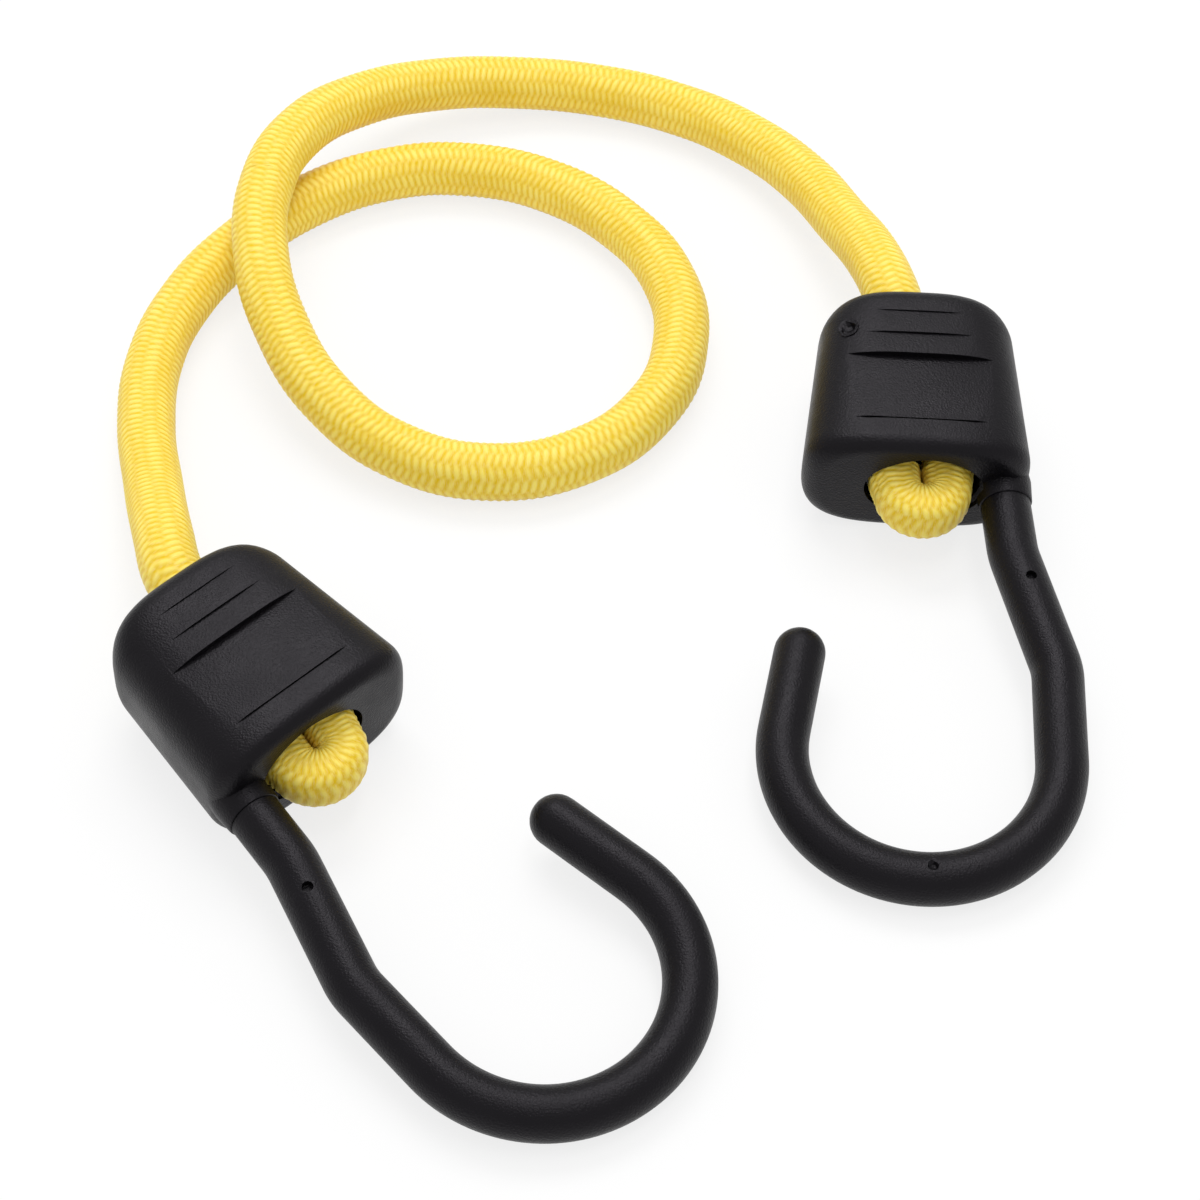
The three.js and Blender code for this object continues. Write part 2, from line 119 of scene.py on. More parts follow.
# %% Route
EXIT_STRAIGHT = 1.5 * MM
CURVE_STEPS = 40  # from one point of the route to the next
CORD_ROUTE = [
    (-57.8, 15.6, 12.9),
    (-60.1, 23.4, 11.6),
    (-63.3, 36.2, 7.8),
    (-66.0, 49.6, 5.6),
    (-66.5, 63.4, 4.6),
    (-63.1, 76.8, 4.3),
    (-56.0, 88.8, 4.3),
    (-46.5, 98.7, 4.3),
    (-34.4, 105.1, 4.3),
    (-20.7, 106.3, 4.3),
    (-7.6, 102.0, 4.3),
    (3.1, 93.2, 4.3),
    (10.1, 81.3, 4.3),
    (11.6, 67.6, 4.3),
    (7.2, 54.6, 4.3),
    (-2.8, 45.2, 4.3),
    (-15.9, 42.0, 4.3),
    (-29.2, 45.4, 4.9),
    (-40.0, 53.8, 7.2),
    (-47.2, 65.2, 10.3),
    (-51.0, 78.2, 12.9),
    (-51.2, 92.0, 13.9),
    (-47.2, 105.1, 13.0),
    (-38.8, 115.7, 10.5),
    (-27.4, 122.9, 7.6),
    (-14.2, 126.1, 5.4),
    (-0.5, 125.2, 4.5),
    (12.5, 120.5, 4.5),
    (23.3, 112.5, 5.2),
    (31.6, 101.6, 6.6),
    (37.0, 89.0, 8.9),
    (40.2, 79.7, 11.3),
    (42.1, 71.2, 12.9),
]


def exit_points(side):
    place = HOOK_FRAMES[side]
    return [place.translation, place @ Vector((0, EXIT_STRAIGHT, 0))]


def drawn_line(points):
    curve = bpy.data.curves.new("route", "CURVE")
    curve.dimensions = "3D"
    curve.resolution_u = CURVE_STEPS
    spline = curve.splines.new("BEZIER")
    spline.bezier_points.add(len(points) - 1)
    for knot, point in zip(spline.bezier_points, points):
        knot.co = point
        knot.handle_left_type = "AUTO"
        knot.handle_right_type = "AUTO"
    holder = bpy.data.objects.new("route", curve)
    bpy.context.scene.collection.objects.link(holder)
    bpy.context.view_layer.update()
    line = np.array([vertex.co for vertex in holder.to_mesh().vertices])
    bpy.data.objects.remove(holder)
    return line


def line_length(line):
    return np.linalg.norm(np.diff(line, axis=0), axis=1).sum()


route = [Vector(point) * MM for point in CORD_ROUTE]
cord_line = drawn_line(exit_points("left") + route + exit_points("right")[::-1])
print("cord length in mm:", round(line_length(cord_line) / MM, 1))

# %% [markdown]
# ## The ribs of the braid
# The cover is a tight round braid of glossy yarn. Seen close, it is rows of short ribs that lie almost across
# the cord, and neighbouring rows lean opposite ways, as in a herringbone. A bump map would show that only
# from the front, so the ribs are modelled. A rule gives the height of the braid anywhere on the cord: each
# rib is a rounded wave, it fades at the edges of its row, and it wanders and swells a little, because no
# braid is quite even.

# %% Rib heights
BRAID_ROWS = 12  # rows of ribs around the cord, an even number
RIB_PITCH = 1.15 * MM
GATHERED_PITCH = 0.8 * MM  # in the folds, where the cord isn't stretched
RIB_HEIGHT = 0.18 * MM
RIB_LEAN = 0.42  # in pitches, across one row
RIB_WANDER = 0.2  # in pitches, for the unevenness of a real braid
LONG_WAVE, SHORT_WAVE = 7.3, 2.9  # of the wander, in ribs
ROW_SHIFT = 2.4  # of the long wave from row to row, in radians
MEAN_FULLNESS, FULLNESS_SPREAD = 0.82, 0.18  # how much the ribs differ in height
RIB_SEED, ROW_SEED = 12.9, 78.2
CREST_POWER = 0.8  # below 1 the crests are broader than the valleys
ROW_EDGE = 0.3  # height left at the edges of a row
EDGE_POWER = 0.6


def rib_height(ribs, turn):
    """From 0 to 1, for a count of ribs along the cord and a turn from 0 to 1 round it."""
    row = np.floor(turn * BRAID_ROWS)
    across = turn * BRAID_ROWS - row - 0.5
    lean = np.where(row % 2 == 0, RIB_LEAN, -RIB_LEAN)
    wander = RIB_WANDER * np.sin(ribs / LONG_WAVE + ROW_SHIFT * row) * np.sin(ribs / SHORT_WAVE + row)
    phase = ribs + lean * across + 0.5 * (row % 2) + wander
    crest = 0.5 + 0.5 * np.cos(2 * math.pi * phase)
    fullness = MEAN_FULLNESS + FULLNESS_SPREAD * np.sin(RIB_SEED * np.floor(phase + 0.5) + ROW_SEED * row)
    fade = ROW_EDGE + (1 - ROW_EDGE) * np.cos(math.pi * across) ** EDGE_POWER
    return fullness * crest**CREST_POWER * fade


print("ribs in 100 mm of cord:", round(100 * MM / RIB_PITCH))

# %% [markdown]
# ## A tube along a line
# The braid is built as a tube, ring by ring along a line. At each ring two directions across the line are
# carried on from the ring before, so the tube doesn't twist, and each point is sunk where the rib rule is
# low. A curve with a bevel would give a tube too, but a smooth one. The tube also keeps a map of length and
# angle for the fine threads, and the height of each rib, from which its colour paints shade in the grooves
# and a highlight on the crests.

# %% Braided tube
CORD_RADIUS = 4.25 * MM
RINGS_PER_RIB = 6
POINTS_PER_ROW = 4


def evenly_spaced(line, step):
    lengths = np.concatenate([[0], np.cumsum(np.linalg.norm(np.diff(line, axis=0), axis=1))])
    marks = np.linspace(0, lengths[-1], max(2, round(lengths[-1] / step)) + 1)
    return np.stack([np.interp(marks, lengths, line[:, k]) for k in range(3)], axis=1), marks


def carried_sides(line):
    """Two unit vectors across the line at each point, carried along it without twist."""
    along = np.gradient(line, axis=0)
    along /= np.linalg.norm(along, axis=1)[:, None]
    side = np.cross(along[0], (0, 0, 1))
    sides = []
    for way in along:
        side = side - way * (side @ way)
        side = side / np.linalg.norm(side)
        sides.append(side)
    sides = np.array(sides)
    return sides, np.cross(sides, along)


def tube_rings(line, turns, height, section):
    half_width, half_thickness, power = (values[:, None] for values in section)
    sides, ups = carried_sides(line)
    sunk = RIB_HEIGHT * (1 - height)
    across = np.cos(2 * math.pi * turns)
    up = np.sin(2 * math.pi * turns)
    wide = (half_width - sunk) * np.sign(across) * np.abs(across) ** (2 / power)
    thick = (half_thickness - sunk) * np.sign(up) * np.abs(up) ** (2 / power)
    return line[:, None] + wide[..., None] * sides[:, None] + thick[..., None] * ups[:, None]


def tube_faces(count, points):
    """Four-sided faces between the rings, and a fan on each end round its middle point."""
    ring = np.arange(points)
    faces = []
    for i in range(count - 1):
        here = i * points + ring
        beside = i * points + (ring + 1) % points
        faces.extend(np.stack([here, here + points, beside + points, beside], axis=1).tolist())
    middle = count * points
    last = middle - points
    for k in range(points):
        after = (k + 1) % points
        faces.append([middle, k, after])
        faces.append([middle + 1, last + after, last + k])
    return faces


def lay_braid_map(mesh, lengths, points):
    """Length and angle of the four-sided faces' corners, both as shares of the way round the cord."""
    along = lengths / (2 * math.pi * CORD_RADIUS)
    starts = np.repeat(np.arange(len(lengths) - 1), points)
    turn_from = np.tile(np.arange(points) / points, len(lengths) - 1)
    turn_to = turn_from + 1 / points
    corners = [(starts, turn_from), (starts + 1, turn_from), (starts + 1, turn_to), (starts, turn_to)]
    quads = np.stack([np.stack([along[ring], turn], axis=1) for ring, turn in corners], axis=1).reshape(-1, 2)
    corner_map = np.zeros((len(mesh.loops), 2))
    corner_map[: len(quads)] = quads
    layer = mesh.uv_layers.new(name="braid_map")
    layer.data.foreach_set("uv", corner_map.astype(np.float32).ravel())


def braided_tube(name, line, section_at, first_length=0.0, pitch=RIB_PITCH):
    """A closed braided tube. section_at gives its half width, half thickness and squareness on the line."""
    line, marks = evenly_spaced(line, pitch / RINGS_PER_RIB)
    lengths = marks + first_length
    points = BRAID_ROWS * POINTS_PER_ROW
    turns = (np.arange(points) + 0.5) / points
    height = rib_height(lengths[:, None] / pitch, turns[None, :])
    rings = tube_rings(line, turns, height, section_at(line))
    corners = [*rings.reshape(-1, 3), line[0], line[-1]]
    mesh = bpy.data.meshes.new(name)
    mesh.from_pydata([tuple(corner) for corner in corners], [], tube_faces(len(line), points))
    mesh.update()
    lay_braid_map(mesh, lengths, points)
    # The rib heights are kept to paint shade in the grooves and a highlight on the crests.
    rib = mesh.attributes.new("rib", "FLOAT", "POINT")
    rib.data.foreach_set("value", np.append(height.ravel(), [0, 0]).astype(np.float32))
    mesh.polygons.foreach_set("use_smooth", [True] * len(mesh.polygons))
    piece = bpy.data.objects.new(name, mesh)
    bpy.context.scene.collection.objects.link(piece)
    return piece, line


print("points round the cord:", BRAID_ROWS * POINTS_PER_ROW)

# %% [markdown]
# ## The free cord, in two lengths
# When the cord is pulled, its right end moves and the last stretch lengthens, while the loop stays where it
# lies. One mesh can't do both, because the loop passes close to that last stretch. So the braid is built in
# two lengths that meet end to end on top of the crossing: the loop, which rides with the cord, and the lead
# to the right hook. The ribs count on from one length to the next, so the joint doesn't show.

# %% Loop and lead
CROSSING_TOP = Vector((-51.2, 92.0, 13.9)) * MM


def round_section(line):
    radius = np.full(len(line), CORD_RADIUS)
    return radius, radius, np.full(len(line), 2.0)


split = int(np.argmin(np.linalg.norm(cord_line - np.array(CROSSING_TOP), axis=1)))
loop_length = line_length(cord_line[: split + 1])
cord_loop, loop_line = braided_tube("cord_loop", cord_line[: split + 1], round_section)
cord_lead, lead_line = braided_tube("cord_lead", cord_line[split:], round_section, loop_length)
print("faces", len(cord_loop.data.polygons), len(cord_lead.data.polygons))

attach(cord_loop, "cord")
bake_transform(cord_lead)
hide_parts("cord_cover", "cord_core")
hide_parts("cord_cover", "cord_core")

# %% [markdown]
# ## The folded ends
# Inside each block the cord doubles back on itself and bulges out of the open end. It is the same braid, so
# the same helper builds it, on a line drawn in the hook's own frame: straight through the neck, over to one
# side of the socket, out of the mouth, round a half turn and back in. Pressed side by side, the two legs are
# a little taller than wide.

# %% Folds
BLOCK_LENGTH = 29.5 * MM
NECK_LENGTH = 9.5 * MM
MOUTH = -BLOCK_LENGTH
LEG_X = 3.65 * MM  # from the cord's axis to the middle of one leg
TURN_X = 3.45 * MM  # the same where the cord turns, out in the open
FOLD_OUT = 0.2 * MM
FOLD_HALF_WIDTH = 3.5 * MM
FOLD_HALF_THICKNESS = 3.95 * MM
FOLD_POWER = 2.5  # of the section in the turn: 2 is an ellipse, and more is squarer
CLAMPED_RADIUS = 3.3 * MM
CLAMP_NEAR = 3 * MM  # from the mouth to the clamp
CLAMP_FAR = 7 * MM
COLLAR_AT = 2.3 * MM  # in front of the clamp the legs swell and hide it
COLLAR_OUT = 0.05 * MM
COLLAR_HALF_WIDTH = 3.8 * MM
COLLAR_HALF_THICKNESS = 4.4 * MM
TAIL_END = -21.0 * MM
FOLD_STEPS = 8


def fold_line():
    turn_y = MOUTH - FOLD_OUT
    points = [(0, 0), (0, -NECK_LENGTH / 2), (0, -NECK_LENGTH), (LEG_X / 2, (TAIL_END - NECK_LENGTH) / 2)]
    points += [(LEG_X, TAIL_END), (LEG_X, MOUTH + CLAMP_FAR / 2), (LEG_X + COLLAR_OUT, MOUTH + COLLAR_AT)]
    for step in range(FOLD_STEPS + 1):
        angle = -math.pi * step / FOLD_STEPS
        points.append((TURN_X * math.cos(angle), turn_y + TURN_X * math.sin(angle)))
    points += [(-LEG_X - COLLAR_OUT, MOUTH + COLLAR_AT), (-LEG_X, MOUTH + CLAMP_FAR / 2), (-LEG_X, TAIL_END)]
    return drawn_line([Vector((x, y, 0)) for x, y in points])


def fold_section(line):
    """Full in the neck, squeezed under the clamp, and swollen in the turn, where the legs press flat."""
    stations = [MOUTH, MOUTH + COLLAR_AT, MOUTH + CLAMP_NEAR, MOUTH + CLAMP_FAR, -NECK_LENGTH]
    widths = [FOLD_HALF_WIDTH, COLLAR_HALF_WIDTH, CLAMPED_RADIUS, CLAMPED_RADIUS, CORD_RADIUS]
    thicknesses = [FOLD_HALF_THICKNESS, COLLAR_HALF_THICKNESS, CLAMPED_RADIUS, CLAMPED_RADIUS, CORD_RADIUS]
    powers = [FOLD_POWER, FOLD_POWER, 2, 2, 2]
    return [np.interp(line[:, 1], stations, values) for values in (widths, thicknesses, powers)]


folds = {}
for side, place in HOOK_FRAMES.items():
    fold, _ = braided_tube(side + "_fold", fold_line(), fold_section, pitch=GATHERED_PITCH)
    fold.data.transform(place)
    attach(fold, FOLD_BODIES[side])
    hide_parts(side + "_fold_cover", side + "_fold_core")
    folds[side] = fold
print("fold faces", len(folds["left"].data.polygons))

# %% [markdown]
# ## The block's slab
# The block, its socket and the stub that carries the arm all change their section along one axis. By hand
# that is a circle, extruded a little and resized, again and again, and a helper does the same along +Y. A
# power above 2 makes the first circle squarer, and every later ring keeps that shape.
#
# The slab is wider at the open mouth than at the neck, with soft edges all round. Subdividing a cube would
# round it too, but its size would shrink and drift. With rings the outline follows two plain rules: a
# straight taper, and a circle at each end that draws the section in. The slab is built square to its own
# middle line and turned later.

# %% Ring helper and slab
MOUTH_WIDTH = 32.36 * MM
MOUTH_THICKNESS = 20.0 * MM
WIDTH_TAPER = 5.6 * MM
THICKNESS_TAPER = 1.2 * MM
SECTION_POWER = 3.3
NECK_END_CORNER = 6 * MM
NECK_END_EDGE = 3 * MM
MOUTH_CORNER = 3.5 * MM
MOUTH_EDGE = 2.2 * MM
SLAB_SIDES = 112
ROUND_STEPS = 12


def extruded_rings(name, sides, rings, power=2.0):
    """A closed body along +Y. A ring is its place on Y, its half width on X and its half thickness on Z."""
    deselect_all()
    upright = (math.pi / 2, 0, 0)
    bpy.ops.mesh.primitive_circle_add(vertices=sides, radius=1, fill_type="NGON", rotation=upright)
    body = bpy.context.object
    body.name = name
    bpy.ops.object.transform_apply(location=False, rotation=True, scale=False)
    y, wide, thick = rings[0]
    for vertex in body.data.vertices:
        x, _, z = vertex.co
        across = math.copysign(abs(x) ** (2 / power), x)
        up = math.copysign(abs(z) ** (2 / power), z)
        vertex.co = (across * wide, y, up * thick)
    bpy.ops.object.mode_set(mode="EDIT")
    bpy.ops.mesh.select_all(action="SELECT")
    for (y0, wide0, thick0), (y1, wide1, thick1) in zip(rings, rings[1:]):
        bpy.ops.mesh.extrude_region_move(TRANSFORM_OT_translate={"value": (0, y1 - y0, 0)})
        bpy.ops.transform.resize(value=(wide1 / wide0, 1, thick1 / thick0), center_override=(0, y1, 0))
    bpy.ops.mesh.select_all(action="SELECT")
    bpy.ops.mesh.normals_make_consistent(inside=False)
    bpy.ops.object.mode_set(mode="OBJECT")
    return body


def drawn_in(radius, from_end):
    if from_end >= radius:
        return 0
    return radius - math.sqrt(radius**2 - (radius - from_end) ** 2)


def slab_ring(from_mouth):
    to_neck = BLOCK_LENGTH - from_mouth
    wide = (MOUTH_WIDTH - WIDTH_TAPER * from_mouth / BLOCK_LENGTH) / 2
    thick = (MOUTH_THICKNESS - THICKNESS_TAPER * from_mouth / BLOCK_LENGTH) / 2
    wide -= drawn_in(MOUTH_CORNER, from_mouth) + drawn_in(NECK_END_CORNER, to_neck)
    thick -= drawn_in(MOUTH_EDGE, from_mouth) + drawn_in(NECK_END_EDGE, to_neck)
    return MOUTH + from_mouth, wide, thick


def slab():
    quarter = [math.pi / 2 * step / ROUND_STEPS for step in range(ROUND_STEPS + 1)]
    stations = [MOUTH_CORNER * (1 - math.cos(turn)) for turn in quarter]
    stations += [BLOCK_LENGTH / 2]
    stations += [BLOCK_LENGTH - NECK_END_CORNER * (1 - math.cos(turn)) for turn in reversed(quarter)]
    return extruded_rings("block", SLAB_SIDES, [slab_ring(station) for station in stations], SECTION_POWER)


block = slab()
print("slab faces", len(block.data.polygons))

# %% [markdown]
# ## The panels on its faces
# Each broad face has a shallow panel that starts at a thin groove, sinks towards the neck and stops at a
# ledge, with two finer ledges above it. Insetting and pushing in a face would give them walls all round. Here
# flat wedges are cut out of the crowned face with Boolean modifiers, so each ledge is deepest in the middle
# and runs out to a point at both ends. The same wedges turned half round cut the other face.

# %% Panels
PANEL_START = 5.2 * MM
PANEL_START_DEPTH = 0.25 * MM
GROOVE_WIDTH = 0.4 * MM
GROOVE_DEPTH = 0.55 * MM
PANEL_LEDGE = 16.7 * MM
PANEL_FLOOR = 8.65 * MM  # height of the panel above the block's middle, at its ledge
FINE_LEDGES = [(17.6 * MM, 20.5 * MM, 0.34 * MM), (21.8 * MM, 24.5 * MM, 0.22 * MM)]  # start, ledge and depth
HALF_ROUND = Matrix.Rotation(math.pi, 4, "Y")


def in_place(body, matrix):
    body.data.transform(matrix)
    body.data.update()
    return body


def ledge_cutter(start, start_height, end, end_height):
    """A wedge across the block whose flat floor runs from one height to another."""
    deselect_all()
    bpy.ops.mesh.primitive_cube_add(size=1)
    cutter = bpy.context.object
    for vertex in cutter.data.vertices:
        far = vertex.co.y > 0
        floor = end_height if far else start_height
        height = MOUTH_THICKNESS if vertex.co.z > 0 else floor
        vertex.co = (vertex.co.x * 2 * MOUTH_WIDTH, MOUTH + (end if far else start), height)
    return cutter


def face_height(from_mouth):
    return slab_ring(from_mouth)[2]


def face_cutters():
    top = face_height(PANEL_START)
    groove_floor = top - GROOVE_DEPTH
    cutters = [ledge_cutter(PANEL_START, top - PANEL_START_DEPTH, PANEL_LEDGE, PANEL_FLOOR)]
    cutters.append(ledge_cutter(PANEL_START - GROOVE_WIDTH, groove_floor, PANEL_START, groove_floor))
    for start, ledge, depth in FINE_LEDGES:
        cutters.append(ledge_cutter(start, face_height(start), ledge, face_height(ledge) - depth))
    turned = []
    for cutter in cutters:
        other = cutter.copy()
        other.data = cutter.data.copy()
        bpy.context.scene.collection.objects.link(other)
        turned.append(in_place(other, HALF_ROUND))
    return cutters + turned


def boolean(body, tool, operation):
    deselect_all()
    body.select_set(True)
    bpy.context.view_layer.objects.active = body
    change = body.modifiers.new(operation.lower(), "BOOLEAN")
    change.operation = operation
    change.solver = "EXACT"
    change.object = tool
    bpy.ops.object.modifier_apply(modifier=change.name)
    bpy.data.objects.remove(tool)


for cutter in face_cutters():
    boolean(block, cutter, "DIFFERENCE")
print("panelled slab faces", len(block.data.polygons))

# %% [markdown]
# ## The stub for the arm
# In the hook the block leans a little on the cord's axis, so that its edge beside the arm runs along the arm.
# So the panelled slab is turned and shifted first. Beside the socket the block runs out into a short stub,
# from which the arm starts. It is a ring body too, a little wider where it grows out of the block, and its
# end has a fine rounded edge where the mould closed on the arm. A Boolean modifier joins it.

# %% Stub
LEAN = math.radians(5.8)  # from the cord's axis to the slab's
NECK_SHIFT = 2 * MM  # from the cord's axis to the slab's middle at the neck's end
ARM_X = 11.3 * MM
STUB_END = MOUTH - 3.2 * MM
STUB_RADIUS = 3.75 * MM
STUB_ROOT_RADIUS = 4.0 * MM
STUB_INNER_RADIUS = 3.4 * MM
STUB_EDGE = 0.25 * MM
STUB_DEPTH = 9 * MM
STUB_SIDES = 48
EDGE_STEP = 0.3 * STUB_EDGE


def stub():
    rings = [(0, STUB_RADIUS - STUB_EDGE), (EDGE_STEP, STUB_RADIUS - EDGE_STEP), (STUB_EDGE, STUB_RADIUS)]
    rings += [(MOUTH - STUB_END, STUB_ROOT_RADIUS), (STUB_DEPTH, STUB_INNER_RADIUS)]
    body = extruded_rings("stub", STUB_SIDES, [(y, radius, radius) for y, radius in rings])
    return in_place(body, Matrix.Translation((ARM_X, STUB_END, 0)))


LEANED = Matrix.Translation((NECK_SHIFT, 0, 0)) @ Matrix.Rotation(-LEAN, 4, "Z")
in_place(block, LEANED)
boolean(block, stub(), "UNION")
print("block faces with its stub", len(block.data.polygons))

# %% [markdown]
# ## The passage for the cord
# A socket opens at the mouth and narrows to the neck that the cord leaves by. Its opening is lower than it is
# wide, with a rounded lip, and behind the lip it is round. It is one more ring body, cut out of the block
# last, so that it also opens what the stub may have closed.

# %% Passage
SOCKET_RADIUS = 8.1 * MM
SOCKET_LIP = 0.5 * MM
LIP_HALF_HEIGHT = 6.4 * MM  # the socket's opening is lower than it is wide
LIP_LENGTH = 2 * MM
PASSAGE_START = MOUTH - 1.8 * MM  # past the leaning mouth, short of the stub's end
NECK_RADIUS = 4.55 * MM
NECK_CHAMFER = 0.8 * MM
LIP_STEPS = 4
LIP_SHARE = 0.999  # keeps the first two rings apart
PASSAGE_SIDES = 64


def passage():
    rings = [(PASSAGE_START, SOCKET_RADIUS + SOCKET_LIP, LIP_HALF_HEIGHT + SOCKET_LIP)]
    for step in range(LIP_STEPS + 1):
        turn = math.pi / 2 * step / LIP_STEPS
        wider = SOCKET_LIP * (1 - math.sin(turn)) * LIP_SHARE
        rings.append((MOUTH + SOCKET_LIP * math.sin(turn), SOCKET_RADIUS + wider, LIP_HALF_HEIGHT + wider))
    rings.append((MOUTH + LIP_LENGTH, SOCKET_RADIUS, LIP_HALF_HEIGHT))
    rings.append((MOUTH + LIP_LENGTH, SOCKET_RADIUS, SOCKET_RADIUS))
    rings += [(-NECK_LENGTH, SOCKET_RADIUS, SOCKET_RADIUS), (-NECK_LENGTH, NECK_RADIUS, NECK_RADIUS)]
    flare = NECK_RADIUS + 2 * NECK_CHAMFER
    rings += [(-NECK_CHAMFER, NECK_RADIUS, NECK_RADIUS), (NECK_CHAMFER, flare, flare)]
    return extruded_rings("passage", PASSAGE_SIDES, rings)


boolean(block, passage(), "DIFFERENCE")
print("block faces", len(block.data.polygons))

# %% [markdown]
# ## A wire bender
# The arm is a steel rod in a plastic coat of even thickness. It is drawn out as a wire bender works: a
# straight extrusion for each run, and a spin about the bend's middle for each bend. A curve with a bevel
# would be quicker, but its bends would only be near the true radii.

# %% Wire bender
SPLAY_START = MOUTH - 10.1 * MM
SPLAY_RADIUS = 14.7 * MM
SPLAY_ANGLE = 10.5  # degrees, as the other two
SPLAY_LENGTH = 16.4 * MM
KINK_RADIUS = 10.7 * MM
KINK_ANGLE = 16.1
LEG_LENGTH = 12.6 * MM
BIGHT_RADIUS = 18.3 * MM  # of the round bend that hooks on
BIGHT_ANGLE = 188.8
TIP_LENGTH = 12.3 * MM


class Wire:
    """A place and a heading in the hook's plane, moved on by each run and bend."""

    def __init__(self, place, heading):
        self.place = place.copy()
        self.heading = heading

    def way(self):
        return Vector((math.cos(self.heading), math.sin(self.heading), 0))

    def run(self, length):
        bpy.ops.mesh.extrude_region_move(TRANSFORM_OT_translate={"value": self.way() * length})
        self.place += self.way() * length

    def bend(self, radius, degrees, steps):
        """A bend to the right, or to the left where the angle is below zero."""
        turn = math.radians(degrees)
        to_centre = math.copysign(radius, degrees)
        centre = self.place + to_centre * Vector((math.sin(self.heading), -math.cos(self.heading), 0))
        bpy.ops.mesh.spin(steps=steps, angle=turn, center=centre, axis=(0, 0, 1))
        self.place = centre + Matrix.Rotation(-turn, 3, "Z") @ (self.place - centre)
        self.heading -= turn


runs = [MOUTH - SPLAY_START, SPLAY_LENGTH, LEG_LENGTH, TIP_LENGTH]
bends = [(SPLAY_RADIUS, SPLAY_ANGLE), (KINK_RADIUS, KINK_ANGLE), (BIGHT_RADIUS, BIGHT_ANGLE)]
wire_length = sum(runs) + sum(radius * math.radians(angle) for radius, angle in bends)
print("wire from mouth to tip in mm:", round(wire_length / MM, 1))

# %% [markdown]
# ## The hook's arm
# The coat starts as a flat ring at the stub. Extruding the ring as a face makes the inner and the outer wall
# at once. At the tip the bore is closed with a flat face, and the outer wall is rounded off to a dome in
# small steps.

# %% Arm
SLEEVE_RADIUS = 3.5 * MM
SLEEVE_WALL = 1.2 * MM
SLEEVE_GAP = 0.04 * MM
ARM_SIDES = 32
KINK_STEPS = 6
BIGHT_STEPS = 72
TIP_STEPS = 8
NEAR_END = 0.1 * MM
MERGE_DISTANCE = 0.01 * MM


def select_where(body, test):
    """Selects the vertices that pass the test, with the edges and faces between them, in edit mode."""
    bpy.ops.mesh.select_all(action="DESELECT")
    bpy.ops.object.mode_set(mode="OBJECT")
    for vertex in body.data.vertices:
        vertex.select = test(vertex.co)
    bpy.ops.object.mode_set(mode="EDIT")
    bpy.ops.mesh.select_mode(type="VERT")


def close_tip(arm, wire):
    """Closes the bore with a flat face and rounds the outer wall off to a dome."""
    end, way = wire.place, wire.way()
    middle_radius = SLEEVE_RADIUS - SLEEVE_WALL / 2

    def in_ring(point, inner, outer):
        return abs((point - end).dot(way)) < NEAR_END and inner < (point - end).length < outer

    select_where(arm, lambda point: in_ring(point, 0, middle_radius))
    bpy.ops.mesh.edge_face_add()
    select_where(arm, lambda point: in_ring(point, middle_radius, 2 * SLEEVE_RADIUS))
    for step in range(1, TIP_STEPS):
        before, now = (math.pi / 2 * k / TIP_STEPS for k in (step - 1, step))
        rise = SLEEVE_RADIUS * (math.sin(now) - math.sin(before))
        shrink = math.cos(now) / math.cos(before)
        bpy.ops.mesh.extrude_region_move(TRANSFORM_OT_translate={"value": way * rise})
        top = end + way * SLEEVE_RADIUS * math.sin(now)
        bpy.ops.transform.resize(value=(shrink, shrink, shrink), center_override=top)
    bpy.ops.mesh.edge_face_add()


def hook_arm():
    deselect_all()
    start = Vector((ARM_X, STUB_END - SLEEVE_GAP, 0))
    bpy.ops.mesh.primitive_circle_add(
        vertices=ARM_SIDES, radius=SLEEVE_RADIUS, fill_type="NGON", location=start
    )
    bpy.ops.transform.rotate(value=math.pi / 2, orient_axis="X", center_override=start)
    arm = bpy.context.object
    arm.name = "hook_arm"
    bpy.ops.object.transform_apply(location=True, rotation=True, scale=False)
    bpy.ops.object.mode_set(mode="EDIT")
    bpy.ops.mesh.select_mode(type="FACE")
    bpy.ops.mesh.select_all(action="SELECT")
    bpy.ops.mesh.inset(thickness=SLEEVE_WALL)
    bpy.ops.mesh.delete(type="FACE")
    bpy.ops.mesh.select_all(action="SELECT")
    wire = Wire(start, -math.pi / 2)
    wire.run(start.y - SPLAY_START)
    wire.bend(SPLAY_RADIUS, -SPLAY_ANGLE, KINK_STEPS)
    wire.run(SPLAY_LENGTH)
    wire.bend(KINK_RADIUS, KINK_ANGLE, KINK_STEPS)
    wire.run(LEG_LENGTH)
    wire.bend(BIGHT_RADIUS, BIGHT_ANGLE, BIGHT_STEPS)
    wire.run(TIP_LENGTH)
    bpy.ops.mesh.delete(type="FACE")
    close_tip(arm, wire)
    bpy.ops.mesh.select_all(action="SELECT")
    bpy.ops.mesh.remove_doubles(threshold=MERGE_DISTANCE)
    bpy.ops.mesh.normals_make_consistent(inside=False)
    bpy.ops.object.mode_set(mode="OBJECT")
    return arm


arm = hook_arm()
print("arm faces", len(arm.data.polygons))

# %% [markdown]
# ## Marks of the mould
# A moulded piece shows how it was made. Pins held the rod in the middle of the mould and left a round hole in
# each face of the arm. The plastic came in at two gates, one on a corner of the block and one on the bend,
# and the broken sprues left rough little craters: a low stub is joined to the piece and a rough lump is cut
# out of it. They are on one face only, so just one of the two hooks shows them from above.

